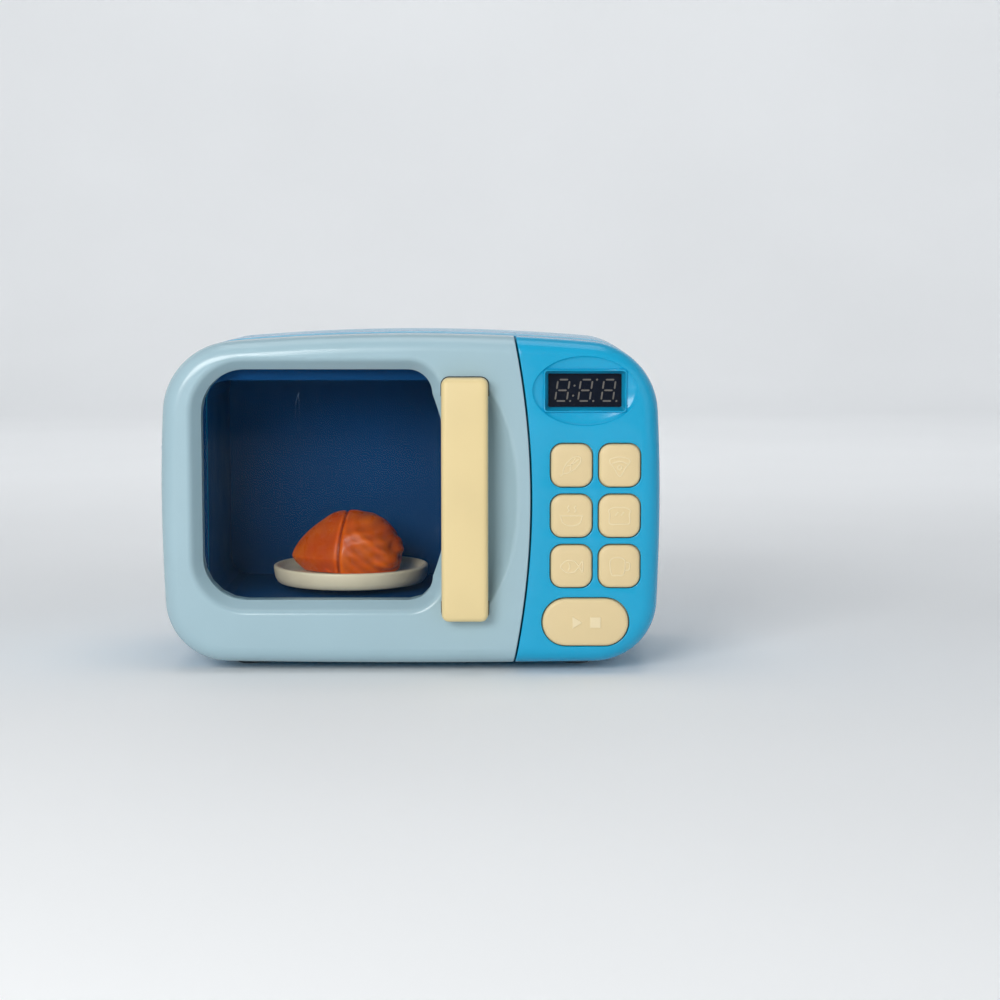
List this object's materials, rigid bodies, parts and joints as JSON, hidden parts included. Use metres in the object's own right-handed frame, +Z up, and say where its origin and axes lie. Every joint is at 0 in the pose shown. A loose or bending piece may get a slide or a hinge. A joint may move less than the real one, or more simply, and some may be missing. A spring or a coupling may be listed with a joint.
{
  "type": "toy microwave oven",
  "caption": "Toy microwave with a hinged clear-window door, turning plate, press buttons and a play roast.",
  "frame": {"origin": "on the ground under the middle of the outer box, handle included", "axes": "+X to the right seen from the front, +Y to the back, +Z up; door and buttons face -Y"},
  "size_m": [0.206, 0.1124, 0.14],
  "materials": {
    "azure_abs": "moulded gloss",
    "pale_blue_abs": "moulded gloss",
    "cream_abs": "moulded satin",
    "deep_blue_abs": "moulded satin",
    "clear_styrene": "clear",
    "display_black": "smooth",
    "roast_orange": "sprayed gloss",
    "grey_rubber": "matte",
    "steel": "zinc plated",
    "board_green": "satin",
    "white_nylon": "satin",
    "brass": "turned",
    "black_abs": "satin",
    "cell_wrap": "printed wrap",
    "red_lens": "clear tint"
  },
  "bodies": {
    "case": {"front_housing": "azure_abs", "rear_housing": "azure_abs", "cavity_liner": "deep_blue_abs", "led_display": "display_black", "keypad_mat": "grey_rubber", "main_pcb": "board_green", "pcb_screw_1": "steel", "pcb_screw_2": "steel", "pcb_screw_3": "steel", "speaker": "black_abs", "battery_box": "azure_abs", "battery_1": "cell_wrap", "battery_2": "cell_wrap", "battery_3": "cell_wrap", "battery_contact_left": "steel", "battery_contact_right": "steel", "power_switch": "black_abs", "light_lens": "red_lens", "light_led": "red_lens", "gearbox_case": "white_nylon", "gearbox_cover": "white_nylon", "drive_motor": "steel", "foot_1": "grey_rubber", "foot_2": "grey_rubber", "foot_3": "grey_rubber", "foot_4": "grey_rubber", "case_screw_1": "steel", "case_screw_2": "steel", "case_screw_3": "steel", "case_screw_4": "steel", "hinge_pin": "steel", "door_strike": "steel"},
    "door": {"door_frame": "pale_blue_abs", "door_inner_panel": "pale_blue_abs", "door_window": "clear_styrene", "door_handle": "cream_abs", "door_catch": "white_nylon", "door_screw_1": "steel", "door_screw_2": "steel", "door_screw_3": "steel", "door_screw_4": "steel", "door_screw_5": "steel", "door_screw_6": "steel"},
    "turntable": {"turntable_plate": "cream_abs", "spindle_gear": "white_nylon"},
    "food": {"roast_chicken": "roast_orange"},
    "idler": {"idler_gear": "white_nylon"},
    "pinion": {"motor_pinion": "brass"},
    "start_key": {"start_button": "cream_abs"},
    "slider": {"power_slider": "black_abs"},
    "battery_cover": {"battery_door": "azure_abs", "battery_door_screw": "steel"},
    "key_1": {"button_1": "cream_abs"},
    "key_2": {"button_2": "cream_abs"},
    "key_3": {"button_3": "cream_abs"},
    "key_4": {"button_4": "cream_abs"},
    "key_5": {"button_5": "cream_abs"},
    "key_6": {"button_6": "cream_abs"}
  },
  "joints": [
    {"name": "door_hinge", "type": "hinge", "parent": "case", "child": "door", "pos_m": [-0.0985, -0.03775, 0.07175], "axis": [0, 0, -1], "range_deg": [0, 140]},
    {"name": "turntable_spin", "type": "hinge", "parent": "case", "child": "turntable", "pos_m": [-0.028, 0.00775, 0.0357], "axis": [0, 0, 1], "continuous": true},
    {"name": "idler_spin", "type": "hinge", "parent": "case", "child": "idler", "pos_m": [-0.004, 0.00775, 0.0196], "axis": [0, 0, 1], "continuous": true},
    {"name": "pinion_spin", "type": "hinge", "parent": "case", "child": "pinion", "pos_m": [0.008, 0.00775, 0.0196], "axis": [0, 0, 1], "continuous": true},
    {"name": "food_lift", "type": "slide", "parent": "turntable", "child": "food", "axis": [0, 0, 1], "range_m": [0, 0.03]},
    {"name": "start_press", "type": "slide", "parent": "case", "child": "start_key", "axis": [0, 1, 0], "range_m": [0, 0.0012], "stiffness_N_per_m": 300},
    {"name": "power_slide", "type": "slide", "parent": "case", "child": "slider", "axis": [1, 0, 0], "range_m": [0, 0.004]},
    {"name": "battery_cover_lift", "type": "slide", "parent": "case", "child": "battery_cover", "axis": [0, 1, 0], "range_m": [0, 0.04]},
    {"name": "button_1_press", "type": "slide", "parent": "case", "child": "key_1", "axis": [0, 1, 0], "range_m": [0, 0.0012], "stiffness_N_per_m": 300},
    {"name": "button_2_press", "type": "slide", "parent": "case", "child": "key_2", "axis": [0, 1, 0], "range_m": [0, 0.0012], "stiffness_N_per_m": 300},
    {"name": "button_3_press", "type": "slide", "parent": "case", "child": "key_3", "axis": [0, 1, 0], "range_m": [0, 0.0012], "stiffness_N_per_m": 300},
    {"name": "button_4_press", "type": "slide", "parent": "case", "child": "key_4", "axis": [0, 1, 0], "range_m": [0, 0.0012], "stiffness_N_per_m": 300},
    {"name": "button_5_press", "type": "slide", "parent": "case", "child": "key_5", "axis": [0, 1, 0], "range_m": [0, 0.0012], "stiffness_N_per_m": 300},
    {"name": "button_6_press", "type": "slide", "parent": "case", "child": "key_6", "axis": [0, 1, 0], "range_m": [0, 0.0012], "stiffness_N_per_m": 300}
  ],
  "couplings": [
    {"joint": "idler_spin", "follows": "turntable_spin", "ratio": -2},
    {"joint": "pinion_spin", "follows": "turntable_spin", "ratio": 4}
  ]
}
